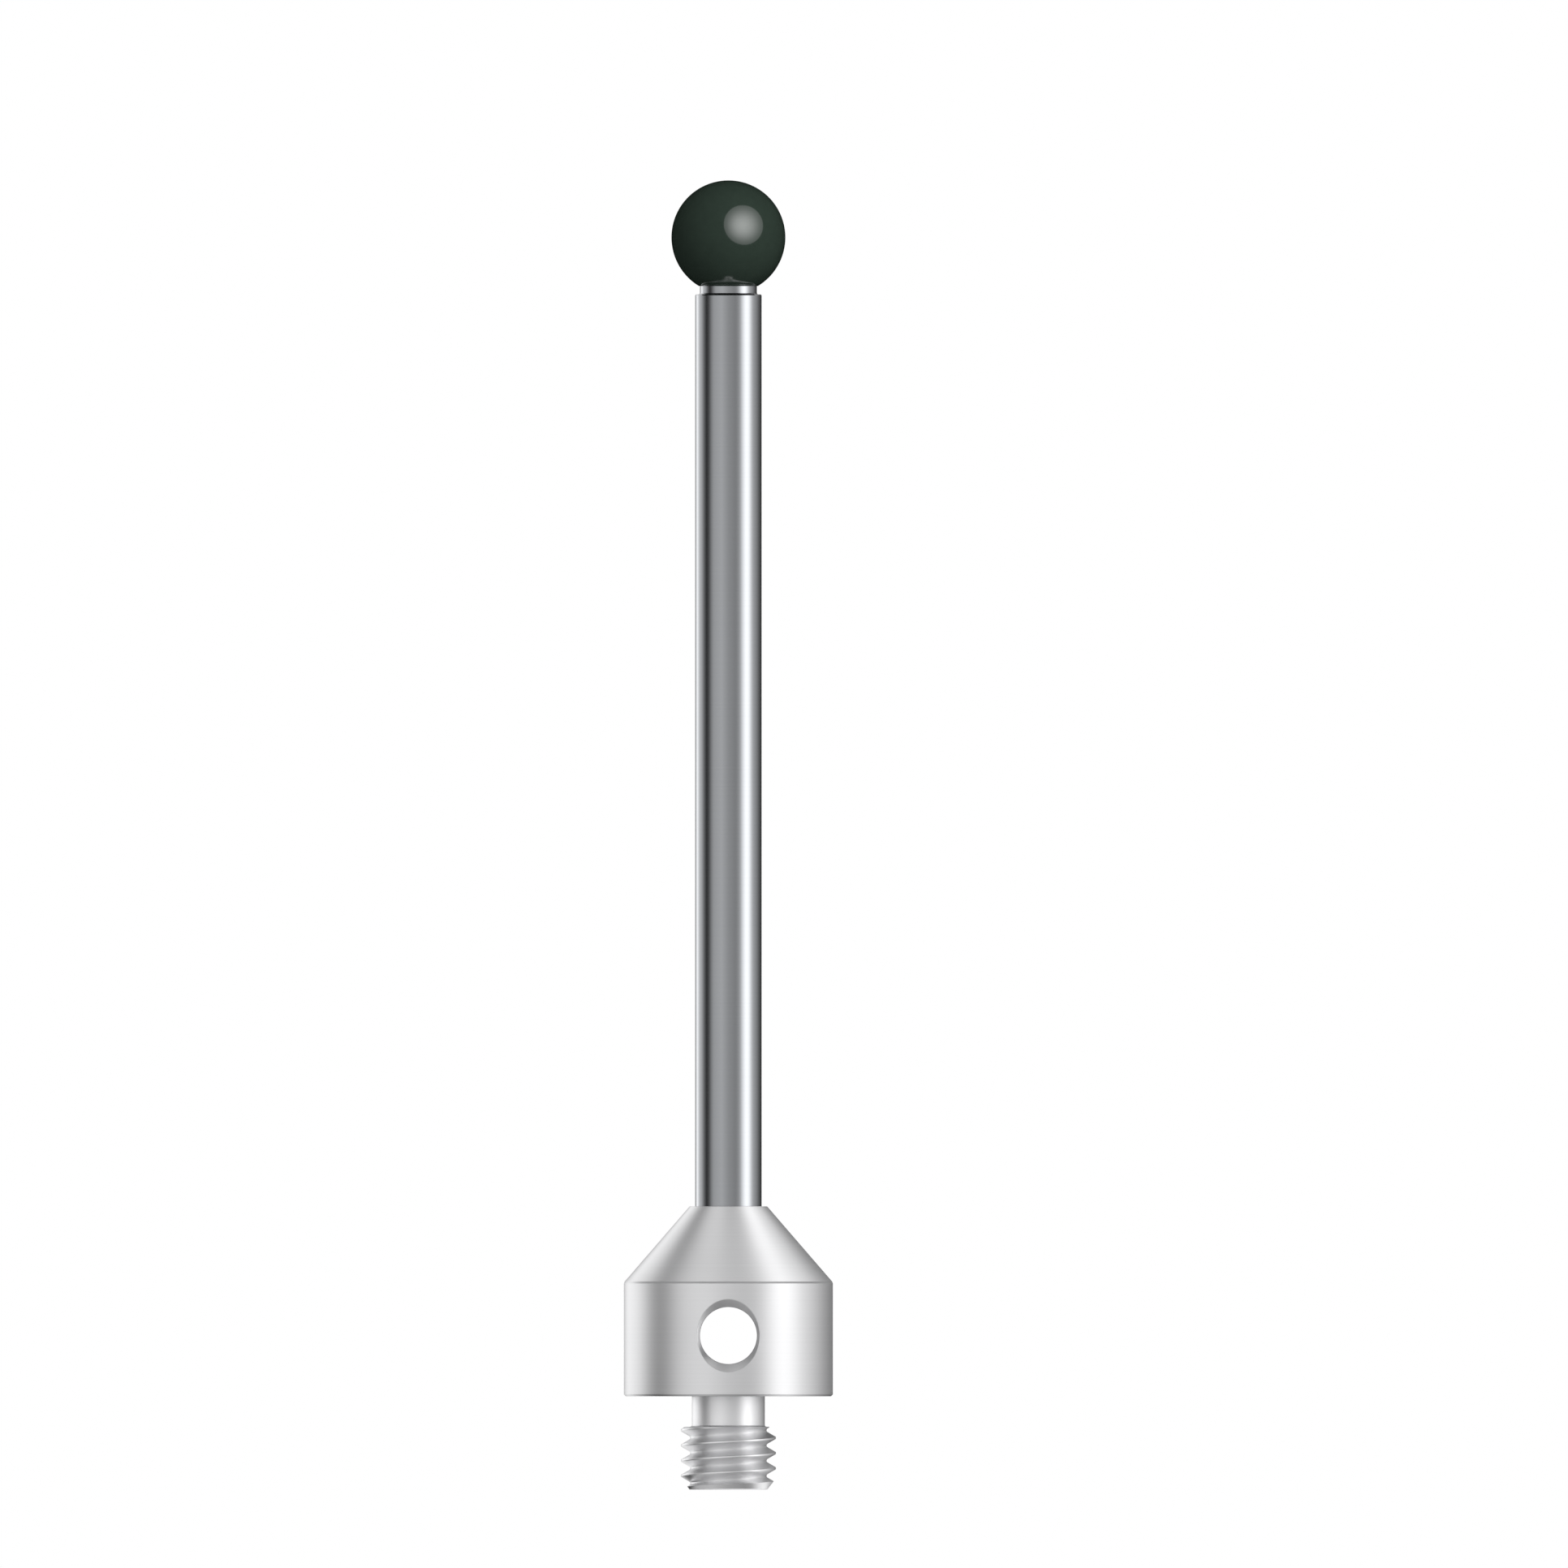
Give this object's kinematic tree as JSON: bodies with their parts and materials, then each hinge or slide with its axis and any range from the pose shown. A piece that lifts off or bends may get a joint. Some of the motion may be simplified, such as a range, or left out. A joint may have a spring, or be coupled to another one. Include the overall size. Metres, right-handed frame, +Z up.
{
  "type": "cmm stylus",
  "caption": "Straight touch-probe stylus: a ceramic ball on a slim ground stem in a conical holder with a cross hole and an M5 stud.",
  "frame": {"origin": "centre of the holder's seating face, the datum of the 64.0 mm length", "axes": "+Z up the stem to the ball, -Z down the stud into the probe, and the cross hole along Y"},
  "size_m": [0.011, 0.011, 0.0689],
  "materials": {
    "ball_ceramic": "lapped and polished silicon nitride, green-black",
    "stem_carbide": "fine ground tungsten carbide, darker than steel",
    "holder_steel": "fine turned stainless steel, satin"
  },
  "bodies": {
    "root": {"ball": "ball_ceramic", "stem": "stem_carbide", "holder": "holder_steel"}
  },
  "joints": []
}
